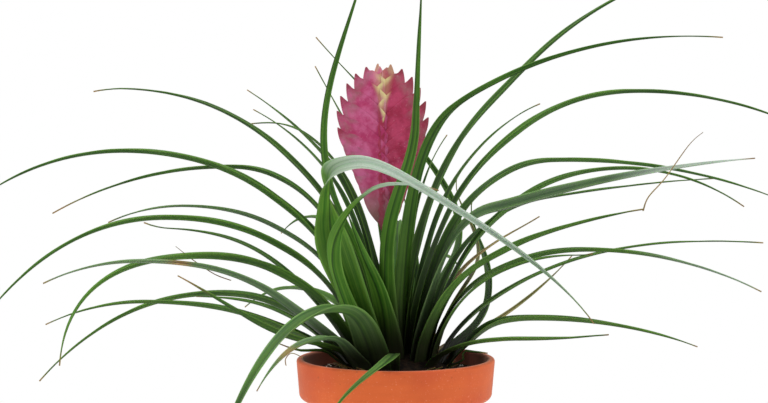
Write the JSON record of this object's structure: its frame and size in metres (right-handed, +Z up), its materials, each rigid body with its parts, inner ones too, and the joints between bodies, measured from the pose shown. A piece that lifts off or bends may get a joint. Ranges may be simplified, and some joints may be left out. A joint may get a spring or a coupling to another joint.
{
  "type": "pink quill plant in a terracotta pot",
  "caption": "Potted bromeliad: a rosette of long arching grassy leaves round a flat pink quill-shaped flower head, in a round terracotta pot with a banded rim.",
  "frame": {"origin": "middle of the pot's underside", "axes": "+Z up; -Y is the side that the flat flower head faces, the picture's view; +X to the right in that view"},
  "size_m": [0.5239, 0.3767, 0.3522],
  "materials": {
    "terracotta": "matte unglazed clay",
    "potting_soil": "dark crumbly potting mix of bark and peat",
    "old_sheaths": "dry fibrous brown leaf sheaths round a short stem",
    "stalk": "green stem",
    "bract_pink": "smooth rose pink bracts with a faint bloom",
    "leaf_green": "satin leathery leaf with a grey scaly bloom"
  },
  "bodies": {
    "root": {"crown": "old_sheaths", "flower_head": "bract_pink", "flower_stalk": "stalk", "leaf_back_01": "leaf_green", "leaf_back_02": "leaf_green", "leaf_back_03": "leaf_green", "leaf_back_04": "leaf_green", "leaf_back_05": "leaf_green", "leaf_back_06": "leaf_green", "leaf_back_07": "leaf_green", "leaf_back_08": "leaf_green", "leaf_front_01": "leaf_green", "leaf_front_02": "leaf_green", "leaf_front_03": "leaf_green", "leaf_front_04": "leaf_green", "leaf_front_05": "leaf_green", "leaf_front_06": "leaf_green", "leaf_front_07": "leaf_green", "leaf_left_01": "leaf_green", "leaf_left_02": "leaf_green", "leaf_left_03": "leaf_green", "leaf_left_04": "leaf_green", "leaf_left_05": "leaf_green", "leaf_left_06": "leaf_green", "leaf_left_07": "leaf_green", "leaf_left_08": "leaf_green", "leaf_left_09": "leaf_green", "leaf_left_10": "leaf_green", "leaf_left_11": "leaf_green", "leaf_left_12": "leaf_green", "leaf_left_13": "leaf_green", "leaf_left_14": "leaf_green", "leaf_left_15": "leaf_green", "leaf_left_16": "leaf_green", "leaf_left_17": "leaf_green", "leaf_right_01": "leaf_green", "leaf_right_02": "leaf_green", "leaf_right_03": "leaf_green", "leaf_right_04": "leaf_green", "leaf_right_05": "leaf_green", "leaf_right_06": "leaf_green", "leaf_right_07": "leaf_green", "leaf_right_08": "leaf_green", "leaf_right_09": "leaf_green", "leaf_right_10": "leaf_green", "leaf_right_11": "leaf_green", "leaf_right_12": "leaf_green", "leaf_right_13": "leaf_green", "leaf_right_14": "leaf_green", "leaf_right_15": "leaf_green", "leaf_right_16": "leaf_green", "leaf_right_17": "leaf_green", "leaf_right_18": "leaf_green", "leaf_right_19": "leaf_green", "leaf_right_20": "leaf_green", "pot": "terracotta", "soil": "potting_soil"}
  },
  "joints": []
}
